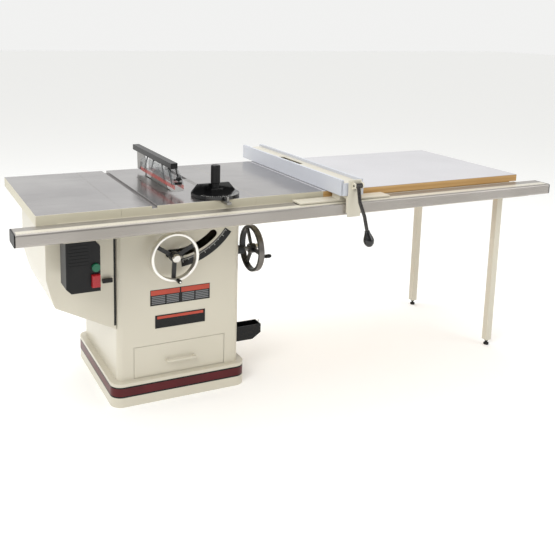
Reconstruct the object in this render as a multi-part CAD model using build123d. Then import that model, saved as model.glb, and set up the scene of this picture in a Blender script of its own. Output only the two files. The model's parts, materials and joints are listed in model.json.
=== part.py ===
"""Left-tilting cabinet table saw, with a long rail fence and an extension table.

Millimetres, +Z up. The origin is on the floor under the middle of the cabinet, +X runs along the
rails towards the extension table, and the operator stands on the -Y side.
"""
from build123d import *
from math import acos, atan2, cos, degrees, radians, sin, sqrt
import os

# ---------------------------------------------------------------- driving dimensions
TABLE_Z = 835                    # working surface above the floor
TABLE_DEPTH = 686
TABLE_FRONT = -427
TABLE_BACK = TABLE_FRONT + TABLE_DEPTH
TABLE_RIM = 38                   # height of the iron skirts
TABLE_SKIN = 12                  # iron under the working surface
SKIRT = 10
MAIN_LEFT, MAIN_RIGHT = -284, 242
WING_WIDTH = 297
WING_LEFT = MAIN_LEFT - WING_WIDTH
WING_RIGHT = MAIN_RIGHT + WING_WIDTH
EXTENSION_RIGHT = 1553
EXTENSION_THICK = 30
LAMINATE = 1.6

PLINTH_W, PLINTH_D, PLINTH_H, PLINTH_R = 566, 572, 98, 45
CABINET_W, CABINET_D, CABINET_R = 514, 524, 25
CABINET_TOP = TABLE_Z - TABLE_RIM
SHEET = 2.5                      # cabinet steel
CABINET_X = CABINET_W / 2
CABINET_Y = CABINET_D / 2

BLADE_X = -27                    # blade plane, and the tilt pivot at table height
BLADE_R = 127
BLADE_T = 3.2
PIVOT_X, PIVOT_Z = BLADE_X, TABLE_Z
ARBOR_Y, ARBOR_Z = -80, 768
ARM_Y, ARM_Z = 75, 750           # pivot of the arbor arm
MOTOR_Y, MOTOR_Z, MOTOR_R = 45, 580, 85
MOTOR_LEFT, MOTOR_RIGHT = -390, -140
PULLEY_LEFT, PULLEY_RIGHT = -122, -90
ARBOR_PULLEY_R, MOTOR_PULLEY_R = 28, 42

SLOT_X = (-162, 108)             # mitre slots
SLOT_W, SLOT_DEPTH = 19, 9.5
INSERT_X = (-73, 32)
INSERT_Y = (-241, 106)
INSERT_T = 5

RAISE_X, RAISE_Z = -41, 595      # shaft of the front handwheel
RAISE_SHAFT_R = 7
TILT_Y, TILT_Z = -225, 567       # shaft of the side handwheel
TILT_SHAFT_R = 9
RACK_R = 255                     # tilt rack about the pivot
SECTOR_R = 141.5                 # raising sector about the arm pivot
FRONT_PLATE = (-232, -218)
REAR_PLATE = (200, 214)
GUIDE_R = (112, 128)             # curved tongue of the trunnions
GUIDE_DEPTH = 12
GAP = 0.3                        # clearance between sliding curved faces
RUNNING = 0.05                   # radial clearance of a shaft in its bearing

WHEEL_R, RIM_THICK, RIM_WIDE = 97, 12, 26
CRANK_REACH = 90                 # crank's axis from the wheel's
WHEEL_Y = -306                   # middle of the front wheel's rim
WHEEL_X = 327                    # middle of the side wheel's rim
SCALE_R = (267, 300)
ARC_SLOT_W = 34

RAIL_Y = (-540, -445)
RAIL_Z = (762, 806)
RAIL_X = (-665, 1638)
RAIL_WALL = 3
ANGLE_X = (-510, 1540)

FENCE_X = (549, 649)
FENCE_FACE = 12
FENCE_Z = (839, 889)
BOARD_TOP = 900                  # the fence's face boards stand above its beam
GUARD_PIVOT = (205, 938)         # Y, Z
GUARD_HALF = 14
FENCE_Y = (-545, 350)

LEVER_R = 7
LEVER_PATH = [(606, -574, 876), (606, -587, 820), (621, -601, 765), (633, -605, 708)]
LEVER_KNOB = 66

LEG_X, LEG_Y, LEG, LEG_FOOT = 1513, (-365, 205), 30, 26
COVER_X, COVER_Y = -519, (-250, 235)
COVER_HINGE = (-CABINET_X - 8.5, 251)
HINGE_Z = (430, 690)
DRAWER_X, DRAWER_Z, DRAWER_DEEP = 191, (102, 228), 400
MITRE_Y = -345                   # pivot of the mitre gauge's head


# ---------------------------------------------------------------- helpers
def block(x0, x1, y0, y1, z0, z1):
    """Box between two corners."""
    centre = Pos((x0 + x1) / 2, (y0 + y1) / 2, (z0 + z1) / 2)
    return centre * Box(x1 - x0, y1 - y0, z1 - z0)


def rod_x(y, z, radius, x0, x1):
    """Cylinder along X."""
    return Pos((x0 + x1) / 2, y, z) * Rot(0, 90, 0) * Cylinder(radius, x1 - x0)


def rod_y(x, z, radius, y0, y1):
    """Cylinder along Y."""
    return Pos(x, (y0 + y1) / 2, z) * Rot(90, 0, 0) * Cylinder(radius, y1 - y0)


def rod_z(x, y, radius, z0, z1):
    """Cylinder along Z."""
    return Pos(x, y, (z0 + z1) / 2) * Cylinder(radius, z1 - z0)


def plate_x(points, x0, x1):
    """Outline in (Y, Z), extruded along X."""
    face = make_face(Polyline(*points, close=True))
    return extrude(Plane.YZ.offset(x0) * face, x1 - x0)


def plate_y(points, y0, y1):
    """Outline in (X, Z), extruded along Y."""
    face = make_face(Polyline(*points, close=True))
    return extrude(Plane.XZ.offset(-y1) * face, y1 - y0)


def rounded_prism(width, depth, radius, z0, z1):
    """Upright prism with rounded corners, centred on the cabinet."""
    return Pos(0, 0, z0) * extrude(RectangleRounded(width, depth, radius), z1 - z0)


def on_arc(angle, radius):
    """Point about the tilt pivot; the angle runs from straight down towards +X."""
    return (PIVOT_X + radius * sin(radians(angle)), PIVOT_Z - radius * cos(radians(angle)))


def arc_plate(radii, angles, y0, y1):
    """Annular sector about the tilt pivot."""
    inner, outer = radii
    start, end = angles
    middle = (start + end) / 2
    edges = ThreePointArc(on_arc(start, outer), on_arc(middle, outer), on_arc(end, outer))
    edges += Line(on_arc(end, outer), on_arc(end, inner))
    edges += ThreePointArc(on_arc(end, inner), on_arc(middle, inner), on_arc(start, inner))
    edges += Line(on_arc(start, inner), on_arc(start, outer))
    return extrude(Plane.XZ.offset(-y1) * make_face(edges), y1 - y0)


def belt_outline(arbor_radius, motor_radius):
    """Loop of a belt round the two pulleys, in the YZ plane."""
    dy, dz = MOTOR_Y - ARBOR_Y, MOTOR_Z - ARBOR_Z
    spacing = sqrt(dy * dy + dz * dz)
    along = degrees(atan2(dz, dy))
    lean = degrees(acos((motor_radius - arbor_radius) / spacing))
    corners = []
    for y, z, radius, side in ((MOTOR_Y, MOTOR_Z, motor_radius, 1),
                               (ARBOR_Y, ARBOR_Z, arbor_radius, -1)):
        for turn in (-side, side):
            angle = radians(along + turn * lean)
            corners.append((y + radius * cos(angle), z + radius * sin(angle)))
    outline = make_face(Polyline(*corners, close=True))
    outline += Pos(ARBOR_Y, ARBOR_Z) * Circle(arbor_radius)
    outline += Pos(MOTOR_Y, MOTOR_Z) * Circle(motor_radius)
    return outline


# ---------------------------------------------------------------- base and cabinet
def base_plinth():
    wall = 6
    shell = rounded_prism(PLINTH_W, PLINTH_D, PLINTH_R, 0, PLINTH_H)
    shell -= rounded_prism(PLINTH_W - 2 * wall, PLINTH_D - 2 * wall, PLINTH_R - wall, wall, PLINTH_H - 4)
    shell -= rounded_prism(PLINTH_W - 130, PLINTH_D - 130, PLINTH_R - wall, wall, PLINTH_H)
    band = rounded_prism(PLINTH_W + 2, PLINTH_D + 2, PLINTH_R + 1, 40, 84)
    band -= rounded_prism(PLINTH_W - 3, PLINTH_D - 3, PLINTH_R - 1.5, 40, 84)
    return shell - band


def plinth_stripe():
    """Painted band let into the plinth, flush with its face."""
    band = rounded_prism(PLINTH_W, PLINTH_D, PLINTH_R, 40, 84)
    return band - rounded_prism(PLINTH_W - 3, PLINTH_D - 3, PLINTH_R - 1.5, 40, 84)


def cabinet_shell():
    inner = (CABINET_W - 2 * SHEET, CABINET_D - 2 * SHEET, CABINET_R - SHEET)
    shell = rounded_prism(CABINET_W, CABINET_D, CABINET_R, PLINTH_H, CABINET_TOP)
    shell -= rounded_prism(*inner, PLINTH_H, CABINET_TOP)
    rim = rounded_prism(*inner, CABINET_TOP - 4, CABINET_TOP)
    shell += rim - rounded_prism(inner[0] - 30, inner[1] - 12, 12, CABINET_TOP - 4, CABINET_TOP)
    hole_x, hole_z = DRAWER_X + 1.5, (DRAWER_Z[0] - 1.5, DRAWER_Z[1] + 1.5)
    shell -= block(-hole_x, hole_x, -CABINET_Y - 1, -CABINET_Y + 6, *hole_z)
    shell -= arc_slot(ARC_SLOT_W / 2, -CABINET_Y - 1, -CABINET_Y + 6)
    motor_hole = extrude(RectangleRounded(410, 358, 30), 12, both=True)
    shell -= Pos(-CABINET_X, 49, 570) * Rot(0, 90, 0) * motor_hole
    shell -= rod_y(0, 297, 47.5, CABINET_Y - 6, CABINET_Y + 1)
    shell -= rod_x(TILT_Y, TILT_Z, 13, CABINET_X - 6, CABINET_X + 1)
    for side in (-1, 1):
        near, far = sorted((side * (CABINET_X - SHEET), side * (DRAWER_X - 20)))
        shell += block(near, far, -250, 150, PLINTH_H, PLINTH_H + 3)
    return shell


def arc_slot(half_width, y0, y1):
    """Curved slot that the front handwheel's shaft travels along."""
    radius = sqrt((RAISE_X - PIVOT_X) ** 2 + (RAISE_Z - PIVOT_Z) ** 2)
    rest = degrees(atan2(RAISE_X - PIVOT_X, PIVOT_Z - RAISE_Z))
    angles = (rest - 1, rest + 46)
    slot = arc_plate((radius - half_width, radius + half_width), angles, y0, y1)
    for angle in angles:
        x, z = on_arc(angle, radius)
        slot += rod_y(x, z, half_width, y0, y1)
    return slot


def dust_chute():
    """Sloping floor under the mechanism, down to the outlet."""
    side, front, back = CABINET_X - SHEET, -CABINET_Y + SHEET, CABINET_Y - SHEET
    floor = plate_x([(front, 292), (front, 290), (back, 241), (back, 243)], -side, side)
    return floor & rounded_prism(2 * side, 2 * back, CABINET_R - SHEET, 200, 320)


def dust_port():
    """Round outlet on the back wall for a 100 mm dust hose."""
    spigot = rod_y(0, 297, 50, CABINET_Y, CABINET_Y + 55)
    flange = block(-66, 66, CABINET_Y, CABINET_Y + 3, 297 - 66, 297 + 66)
    holes = rod_y(0, 297, 47.5, CABINET_Y - 1, CABINET_Y + 56)
    for x in (-56, 56):
        for z in (-56, 56):
            holes += rod_y(x, 297 + z, 2.5, CABINET_Y - 1, CABINET_Y + 4)
    return spigot + flange - holes


def storage_drawer():
    front = block(-DRAWER_X, DRAWER_X, -CABINET_Y, -CABINET_Y + 2, *DRAWER_Z)
    wide, back = DRAWER_X - 10, -CABINET_Y + DRAWER_DEEP
    tray = block(-wide, wide, -CABINET_Y + 2, back, 102, 214)
    tray -= block(-wide + 1.5, wide - 1.5, -CABINET_Y + 2, back - 1.5, 103.5, 214)
    return front + tray


def drawer_handle():
    """Bar pull on two posts."""
    y, z, half, radius = -CABINET_Y - 19, 158, 57, 5.5
    pull = rod_x(y, z, radius, -half, half)
    for x in (-half, half):
        pull += Pos(x, y, z) * Sphere(radius) + rod_y(x, z, radius, y, -CABINET_Y)
    return pull


def storage_bracket():
    """Black steel hook on the right side for the gauge and the spanners."""
    x0, x1, y0, y1, z0, z1 = CABINET_X, CABINET_X + 126, -215, -160, 160, 223
    body = block(x0, x1, y0, y1, z0, z1)
    body -= block(x0 + 3, x1 - 3, y0 + 3, y1 - 3, z0 + 3, z1)
    body -= plate_y([(x1 - 40, z0 - 1), (x1 + 1, z0 - 1), (x1 + 1, z0 + 26)], y0 - 1, y1 + 1)
    sloped = [(x1 - 40, z0), (x1 - 40, z0 + 3), (x1 - 3, z0 + 28), (x1, z0 + 28), (x1, z0 + 25)]
    body += plate_y(sloped, y0, y1)
    peg = rod_z(x1 - 12, y0 + 1.5, 1.4, z1 - 4, z1 + 20)
    return body + peg


# ---------------------------------------------------------------- iron tables
def ribbed_top(x0, x1):
    """Cast top with a skirt all round and cross ribs underneath."""
    under = TABLE_Z - TABLE_SKIN
    top = block(x0, x1, TABLE_FRONT, TABLE_BACK, CABINET_TOP, TABLE_Z)
    top -= block(x0 + SKIRT, x1 - SKIRT, TABLE_FRONT + SKIRT, TABLE_BACK - SKIRT, CABINET_TOP, under)
    return top


def main_table():
    under = TABLE_Z - TABLE_SKIN
    top = ribbed_top(MAIN_LEFT, MAIN_RIGHT)
    for x in SLOT_X:
        top += block(x - 20, x + 20, TABLE_FRONT + 1, TABLE_BACK - 1, under - 8, TABLE_Z)
    for x in SLOT_X:
        half = SLOT_W / 2
        top -= block(x - half, x + half, TABLE_FRONT - 1, TABLE_BACK + 1, TABLE_Z - SLOT_DEPTH, TABLE_Z + 1)
    top -= insert_blank(0, INSERT_T, 0)
    top -= insert_blank(7, TABLE_SKIN + 20, 0)
    for x in (MAIN_LEFT + SKIRT, MAIN_RIGHT - SKIRT - 8):
        for y in (-350, 180):
            top += block(x, x + 8, y - 3, y + 3, CABINET_TOP, under)
    return top


def insert_blank(inset, depth, gap):
    """Rounded oblong of the throat plate, shrunk by inset and gap."""
    shrink = inset + gap
    width = INSERT_X[1] - INSERT_X[0] - 2 * shrink
    length = INSERT_Y[1] - INSERT_Y[0] - 2 * shrink
    middle = Pos(sum(INSERT_X) / 2, sum(INSERT_Y) / 2, TABLE_Z - depth)
    return middle * extrude(RectangleRounded(width, length, width / 2 - 8), depth)


def table_insert():
    """Throat plate, with a slot whose right wall leans with the tilted blade."""
    plate = insert_blank(0, INSERT_T, 0.4)
    left, right = BLADE_X - 3.2, BLADE_X + 4.2
    outline = [(left, TABLE_Z + 1), (right, TABLE_Z + 1), (right + 8, TABLE_Z - 7), (left, TABLE_Z - 7)]
    plate -= plate_y(outline, -212, 99)
    for y in (INSERT_Y[0] + 12, INSERT_Y[1] - 12):
        plate -= rod_z(sum(INSERT_X) / 2 - 12, y, 2.5, TABLE_Z - 2, TABLE_Z + 1)
    return plate


def table_wings():
    wings = []
    for x0, x1 in ((WING_LEFT, MAIN_LEFT), (MAIN_RIGHT, WING_RIGHT)):
        wing = ribbed_top(x0, x1)
        for y in (-200, 32):
            wing += block(x0 + 1, x1 - 1, y, y + 8, CABINET_TOP + 6, TABLE_Z - TABLE_SKIN)
        wings.append(wing)
    return wings


# ---------------------------------------------------------------- rails and extension
def rail_angles():
    """Angle irons bolted along the front and back edges of the table."""
    x0, x1 = ANGLE_X
    front = block(x0, x1, TABLE_FRONT - 6, TABLE_FRONT, 756, TABLE_Z - EXTENSION_THICK - 2)
    front += block(x0, x1, -520, TABLE_FRONT, 756, RAIL_Z[0])
    back = block(x0, x1, TABLE_BACK, TABLE_BACK + 6, CABINET_TOP + 1, TABLE_Z - 13)
    back += block(x0, x1, TABLE_BACK, TABLE_BACK + 50, CABINET_TOP + 1, CABINET_TOP + 7)
    return [front, back]


def table_bolts():
    """Bolts that draw the wings against the main table, and those of the rails."""
    bolts = []
    for x, side in ((MAIN_LEFT + SKIRT, 1), (MAIN_RIGHT - SKIRT, -1)):
        for y in (-380, -280, 100, 215):
            near, far = sorted((x, x + side * 7))
            bolts.append(rod_x(y, CABINET_TOP + 13, 8, near, far))
    for x in (-430, -150, 110, 360, 700, 1060, 1420):
        bolts.append(rod_y(x, 785, 7, TABLE_FRONT - 11, TABLE_FRONT - 6))
        bolts.append(rod_y(x, CABINET_TOP + 15, 7, TABLE_BACK + 6, TABLE_BACK + 11))
        bolts.append(rod_z(x + 40, -480, 7, 750, 756))
    return bolts


def front_rail_tube():
    width, height = RAIL_Y[1] - RAIL_Y[0], RAIL_Z[1] - RAIL_Z[0]
    section = RectangleRounded(width, height, 7)
    section -= RectangleRounded(width - 2 * RAIL_WALL, height - 2 * RAIL_WALL, 4)
    place = Plane.YZ.offset(RAIL_X[0]) * Pos(sum(RAIL_Y) / 2, sum(RAIL_Z) / 2)
    return extrude(place * section, RAIL_X[1] - RAIL_X[0])


def rail_end_caps():
    caps = []
    width, height = RAIL_Y[1] - RAIL_Y[0], RAIL_Z[1] - RAIL_Z[0]
    for x, side in ((RAIL_X[0], -1), (RAIL_X[1], 1)):
        place = Plane.YZ.offset(x) * Pos(sum(RAIL_Y) / 2, sum(RAIL_Z) / 2)
        cap = extrude(place * RectangleRounded(width, height, 7), side * 5)
        cap += extrude(place * RectangleRounded(width - 7, height - 7, 3.5), -side * 14)
        caps.append(cap)
    return caps


def extension_core():
    return block(WING_RIGHT, EXTENSION_RIGHT, TABLE_FRONT, TABLE_BACK,
                 TABLE_Z - EXTENSION_THICK, TABLE_Z - LAMINATE)


def extension_laminate():
    return block(WING_RIGHT, EXTENSION_RIGHT, TABLE_FRONT, TABLE_BACK, TABLE_Z - LAMINATE, TABLE_Z)


def extension_frame():
    """Wooden stretchers under the extension board."""
    z0, z1 = 752, TABLE_Z - EXTENSION_THICK
    x0, x1 = WING_RIGHT + 30, EXTENSION_RIGHT - 66
    rails = [block(x0, EXTENSION_RIGHT - 20, y, y + 20, z0, z1) for y in (TABLE_FRONT + 20, TABLE_BACK - 34)]
    inner = (TABLE_FRONT + 40, TABLE_BACK - 34)
    rails += [block(x, x + 20, *inner, z0, z1) for x in (x0, (x0 + x1) / 2, x1 - 20)]
    return rails


def extension_legs():
    legs = []
    for y in LEG_Y:
        half, top = LEG / 2, TABLE_Z - EXTENSION_THICK
        leg = block(LEG_X - half, LEG_X + half, y - half, y + half, LEG_FOOT, top)
        half -= 3
        leg -= block(LEG_X - half, LEG_X + half, y - half, y + half, LEG_FOOT + 6, top - 4)
        leg -= rod_z(LEG_X, y, 5, LEG_FOOT - 1, LEG_FOOT + 7)
        legs.append(leg)
    return legs


def leg_feet():
    """Levelling feet: a threaded stud, a jam nut and a round pad."""
    feet = []
    for y in LEG_Y:
        foot = rod_z(LEG_X, y, 12, 0, 9) + rod_z(LEG_X, y, 5, 9, LEG_FOOT + 20)
        foot += Pos(LEG_X, y, LEG_FOOT - 7) * extrude(RegularPolygon(9, 6), 7)
        feet.append(foot)
    return feet


# ---------------------------------------------------------------- plates, switch
def front_plates():
    """Curved tilt scale below the arc slot, blank caution plate and blank badge plate."""
    face = -CABINET_Y
    scale = arc_plate(SCALE_R, (6, 54), face - 1.2, face)
    return [scale, block(-125, 125, face - 1, face, 391, 455), block(-105, 105, face - 2, face, 296, 349)]


def switch_box():
    box = block(-484, -362, -430, -340, 543, 735)
    for right, size in ((True, 26), (False, 18)):
        corner = [edge for edge in box.edges().filter_by(Axis.Y)
                  if (edge.center().X > -400) == right and (edge.center().Z > 600) == right]
        box = chamfer(corner, size)
    box = fillet(box.faces().sort_by(Axis.Y)[0].edges(), 4)
    box -= rod_y(-380, 633, 15.3, -431, -408)
    return box - block(-396.3, -365.7, -431, -408, 561.7, 608.3)


def switch_bracket():
    """Bent strap that hangs the switch from the front rail."""
    strap = block(-472, -400, -500, -337, 753, 756)
    return strap + block(-472, -400, -340, -337, 560, 756)


def start_button():
    return rod_y(-380, 633, 15, -440, -418)


def stop_button():
    """Large paddle in a recess of the switch."""
    paddle = block(-396, -366, -446, -418, 562, 608)
    return fillet(paddle.faces().sort_by(Axis.Y)[0].edges(), 5)


# ---------------------------------------------------------------- motor cover
def cover_outline(inset):
    """Outline of the motor cover in XZ, drawn in by inset on its closed sides."""
    right = -CABINET_X
    slope = inset * 1.1
    return [(right, 780 - inset), (COVER_X + inset, 780 - inset), (COVER_X + inset, 545),
            (-503 + inset, 478), (-488 + inset, 431 + inset / 2), (right, 313 + slope)]


def motor_cover():
    y0, y1 = COVER_Y
    cover = plate_y(cover_outline(0), y0, y1) - plate_y(cover_outline(2), y0 + 2, y1 - 2)
    lip = block(-CABINET_X - 3, -CABINET_X - 0.4, y1 - 2, y1 + 6, 360, 760)
    for z in HINGE_Z:
        lip += block(-CABINET_X - 3, -CABINET_X - 0.4, y1, y1 + 12, z - 22, z + 22)
    cover = cover - block(-CABINET_X - 0.4, -CABINET_X + 1, y0 - 1, y1 + 1, 300, 790) + lip
    hinge_x, hinge_y = COVER_HINGE
    for z in HINGE_Z:
        cover += rod_z(hinge_x, hinge_y, 7, z - 22, z + 22)
        cover -= rod_z(hinge_x, hinge_y, 4 + RUNNING, z - 23, z + 23)
    return cover - rod_y(-294, 519, 4.3, y0 - 1, y0 + 3)


def cover_hinges():
    """Hinge leaves on the cabinet, each with its pin."""
    hinge_x, hinge_y = COVER_HINGE
    hinges = []
    for z in HINGE_Z:
        hinge = rod_z(hinge_x, hinge_y, 4, z - 40, z + 40)
        for end in (z - 40, z + 24):
            hinge += rod_z(hinge_x, hinge_y, 7, end, end + 16)
            hinge += block(hinge_x, -CABINET_X, hinge_y - 3, hinge_y + 3, end, end + 16)
        hinges.append(hinge)
    return hinges


def cover_latch():
    """Quarter-turn handle, its spindle and the tongue behind the sheet."""
    y0 = COVER_Y[0]
    latch = rod_y(-294, 519, 4, y0 - 8, y0 + 12)
    latch += block(-313, -275, y0 - 20, y0 - 6, 512, 526)
    return latch + block(-298, -264, y0 + 9, y0 + 12, 512, 526)


# ---------------------------------------------------------------- trunnions and tilting parts
def guide_band(slack):
    """Curved tongue of a trunnion, or its groove when slack is added."""
    return (GUIDE_R[0] - slack, GUIDE_R[1] + slack)


def trunnion_brackets():
    """Brackets under the table with the curved grooves that the cradle hangs in."""
    brackets = []
    for y0, y1, groove in ((-252, -234, (-246, -230)), (216, 234, (212, 228))):
        half_disc = rod_y(PIVOT_X, PIVOT_Z, 152, y0, y1) - rod_y(PIVOT_X, PIVOT_Z, 70, y0, y1)
        bracket = half_disc & block(-250, 250, y0, y1, 600, TABLE_Z - TABLE_SKIN - 8)
        for x in (PIVOT_X - 106, PIVOT_X + 74):
            bracket += block(x, x + 32, y0, y1, TABLE_Z - TABLE_SKIN - 10, TABLE_Z - TABLE_SKIN)
        bracket -= arc_plate(guide_band(GAP), (-80, 80), *groove)
        brackets.append(bracket)
    return brackets


def tilt_cradle():
    """Casting that carries the arm: front and rear plates joined by a beam."""
    front, rear = FRONT_PLATE, REAR_PLATE
    cradle = arc_plate((100, 140), (-64, 22), *front)
    cradle += arc_plate((130, 200), (-64, 8), *front)
    cradle += arc_plate((190, RACK_R - 8), (-50, 6), *front)
    cradle -= arc_plate((160, 215), (-36, -12), *front)
    cradle += arc_plate(guide_band(0), (-64, 22), front[0] - GUIDE_DEPTH, front[0])
    cradle += arc_plate((100, 190), (-64, 8), *rear)
    cradle += arc_plate((100, 140), (-64, 22), *rear)
    cradle += arc_plate(guide_band(0), (-64, 22), rear[1], rear[1] + GUIDE_DEPTH)
    cradle += block(-175, -140, front[1], rear[0], 720, 765)
    cradle += rod_x(ARM_Y, ARM_Z, 24, -145, -92)
    for tooth in range(29):
        angle = -50 + tooth * 2
        cradle += arc_plate((RACK_R - 9, RACK_R), (angle, angle + 1), *front)
    cradle += rod_y(RAISE_X, RAISE_Z, 10.5, front[1], 30)
    cradle -= rod_y(RAISE_X, RAISE_Z, RAISE_SHAFT_R + RUNNING, front[0] - 1, 31)
    cradle += block(-45, BLADE_X - 1.3, 150, rear[0], 745, 790) + block(-45, -31, 186, rear[0], 700, 790)
    return [cradle - rod_x(ARM_Y, ARM_Z, 12, -146, -91), tilt_pointer()]


def arm_pivot_shaft():
    return rod_x(ARM_Y, ARM_Z, 12, -146, -36)


def splitter():
    """Steel plate behind the blade; its tail carries the guard and the pawls."""
    outline = [(72, 770), (150, 745), (195, 745), (195, 785), (150, 806), (95, 806), (95, 850),
               (200, 850), (208, 930), (208, 946), (150, 946), (105, 930), (80, 880)]
    plate = plate_x(outline, BLADE_X - 1.25, BLADE_X + 1.25)
    plate += rod_x(*GUARD_PIVOT, 8, BLADE_X - 1.25, BLADE_X + 1.25)
    plate -= rod_x(*GUARD_PIVOT, 4 + RUNNING, -40, -10)
    return plate - rod_x(150, 880, 3, -40, -10)


def tilt_pointer():
    """Pointer on the cradle that reads the tilt scale through the arc slot."""
    x, z = on_arc(-0.5, 240)
    y0, y1 = -CABINET_Y - 8, -CABINET_Y - 6
    pointer = rod_y(x, z, 3, y0, FRONT_PLATE[0])
    pointer += arc_plate((237, 252), (-1, 8), y0, y1)
    return pointer + arc_plate((250, 272), (7.2, 7.8), y0, y1)


# ---------------------------------------------------------------- arbor arm and motor
def arbor_arm():
    """Casting from the arbor bearings through the pivot to the motor plate."""
    web = [(ARBOR_Y - 20, ARBOR_Z + 16), (ARM_Y, ARM_Z + 26), (ARM_Y + 33, ARM_Z), (ARM_Y + 33, 668),
           (ARM_Y - 33, 668), (ARM_Y - 40, 700), (ARBOR_Y - 10, ARBOR_Z - 24)]
    arm = plate_x(web, -84, -66)
    arm += rod_x(ARBOR_Y, ARBOR_Z, 27, -86, -46)
    arm += rod_x(ARM_Y, ARM_Z, 26, -88, -33)
    arm += block(-320, -66, ARM_Y - 33, ARM_Y + 33, 668, 682)
    arm += sector_gear()
    arm -= rod_x(ARBOR_Y, ARBOR_Z, 12 + RUNNING, -90, -40)
    return arm - rod_x(ARM_Y, ARM_Z, 12 + RUNNING, -90, -30)


def sector_gear():
    """Toothed sector below the arm pivot, driven by the front handwheel's worm."""
    x0, x1 = RAISE_X - 8, RAISE_X + 8
    wedge = [(ARM_Y, ARM_Z)]
    for angle in (-34, -18, -2, 15):
        wedge.append((ARM_Y + 180 * sin(radians(angle)), ARM_Z - 180 * cos(radians(angle))))
    gear = rod_x(ARM_Y, ARM_Z, SECTOR_R, x0, x1) & plate_x(wedge, x0, x1)
    for tooth in range(17):
        angle = radians(-32 + tooth * 3)
        y, z = ARM_Y + SECTOR_R * sin(angle), ARM_Z - SECTOR_R * cos(angle)
        gear -= rod_x(y, z, 2.6, x0, x1)
    return gear


def motor():
    """Finned motor body with its foot, and a box for the capacitor."""
    body = rod_x(MOTOR_Y, MOTOR_Z, MOTOR_R - 6, MOTOR_LEFT + 48, MOTOR_RIGHT)
    for fin in range(30):
        ring = Pos(0, MOTOR_Y, MOTOR_Z) * Rot(fin * 12, 0, 0)
        body += ring * block(MOTOR_LEFT + 55, MOTOR_RIGHT - 15, -1.5, 1.5, MOTOR_R - 10, MOTOR_R)
    body += block(-310, -190, MOTOR_Y - 3, ARM_Y + 33, MOTOR_Z + 60, 668)
    body += block(-300, -210, -78, MOTOR_Y, 552, 606)
    body -= rod_x(MOTOR_Y, MOTOR_Z, 12 + RUNNING, MOTOR_RIGHT - 30, MOTOR_RIGHT + 1)
    cowl = rod_x(MOTOR_Y, MOTOR_Z, MOTOR_R, MOTOR_LEFT, MOTOR_LEFT + 48)
    cowl -= rod_x(MOTOR_Y, MOTOR_Z, MOTOR_R - 2, MOTOR_LEFT + 2, MOTOR_LEFT + 48)
    for ring in range(3):
        cowl -= annulus_x(20 + 20 * ring, 8, MOTOR_LEFT - 1, MOTOR_LEFT + 3)
    reach = MOTOR_R - 5
    cowl += block(MOTOR_LEFT, MOTOR_LEFT + 2, MOTOR_Y - reach, MOTOR_Y + reach, MOTOR_Z - 3, MOTOR_Z + 3)
    return [body, cowl]


def annulus_x(inner, width, x0, x1):
    """Ring about the motor's axis."""
    return rod_x(MOTOR_Y, MOTOR_Z, inner + width, x0, x1) - rod_x(MOTOR_Y, MOTOR_Z, inner, x0, x1)


def belt_lanes():
    """X range of each belt."""
    pitch = (PULLEY_RIGHT - PULLEY_LEFT - 2) / 3
    return [(PULLEY_LEFT + 2 + lane * pitch, PULLEY_LEFT + lane * pitch + pitch) for lane in range(3)]


def pulley(y, z, radius, lanes):
    body = rod_x(y, z, radius + 4, PULLEY_LEFT, PULLEY_RIGHT)
    for x0, x1 in lanes:
        body -= rod_x(y, z, radius + 5, x0, x1) - rod_x(y, z, radius, x0, x1)
    return body


def drive_belts():
    belts = []
    for x0, x1 in belt_lanes():
        outer = belt_outline(ARBOR_PULLEY_R + 6, MOTOR_PULLEY_R + 6)
        inner = belt_outline(ARBOR_PULLEY_R + GAP, MOTOR_PULLEY_R + GAP)
        belts.append(extrude(Plane.YZ.offset(x0 + 0.4) * (outer - inner), x1 - x0 - 0.8))
    return belts


def arbor_shaft():
    """Arbor with its fixed flange, and the pulley keyed to its left end."""
    shaft = rod_x(ARBOR_Y, ARBOR_Z, 12, PULLEY_LEFT - 3, -38)
    shaft += rod_x(ARBOR_Y, ARBOR_Z, 25, -38, BLADE_X - BLADE_T / 2)
    shaft += rod_x(ARBOR_Y, ARBOR_Z, 7.9, -39, 0)
    rim = pulley(ARBOR_Y, ARBOR_Z, ARBOR_PULLEY_R, belt_lanes()) - rod_x(ARBOR_Y, ARBOR_Z, 12, -130, -80)
    return [shaft, rim]


def arbor_nut():
    """Outer flange washer and the left-hand nut."""
    right = BLADE_X + BLADE_T / 2
    washer = rod_x(ARBOR_Y, ARBOR_Z, 25, right, right + 6)
    nut = Plane.YZ.offset(right + 6) * Pos(ARBOR_Y, ARBOR_Z) * RegularPolygon(13.8, 6)
    bore = rod_x(ARBOR_Y, ARBOR_Z, 7.9, right - 1, right + 21)
    return washer + extrude(nut, 13) - bore


def saw_blade():
    """Forty-tooth blade."""
    teeth = 40
    outline = []
    for tooth in range(teeth):
        angle = radians(360 / teeth * tooth)
        for lead, radius in ((0, BLADE_R), (radians(4), BLADE_R - 1.5), (radians(5), 119), (radians(8), 118)):
            outline.append((ARBOR_Y + radius * cos(angle + lead), ARBOR_Z + radius * sin(angle + lead)))
    blade = plate_x(outline, BLADE_X - BLADE_T / 2, BLADE_X + BLADE_T / 2)
    return blade - rod_x(ARBOR_Y, ARBOR_Z, 7.9, -40, -10)


def motor_pulley():
    """Motor shaft with its pulley."""
    shaft = rod_x(MOTOR_Y, MOTOR_Z, 12, MOTOR_RIGHT - 28, PULLEY_RIGHT + 2)
    return shaft + pulley(MOTOR_Y, MOTOR_Z, MOTOR_PULLEY_R, belt_lanes())


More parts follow.
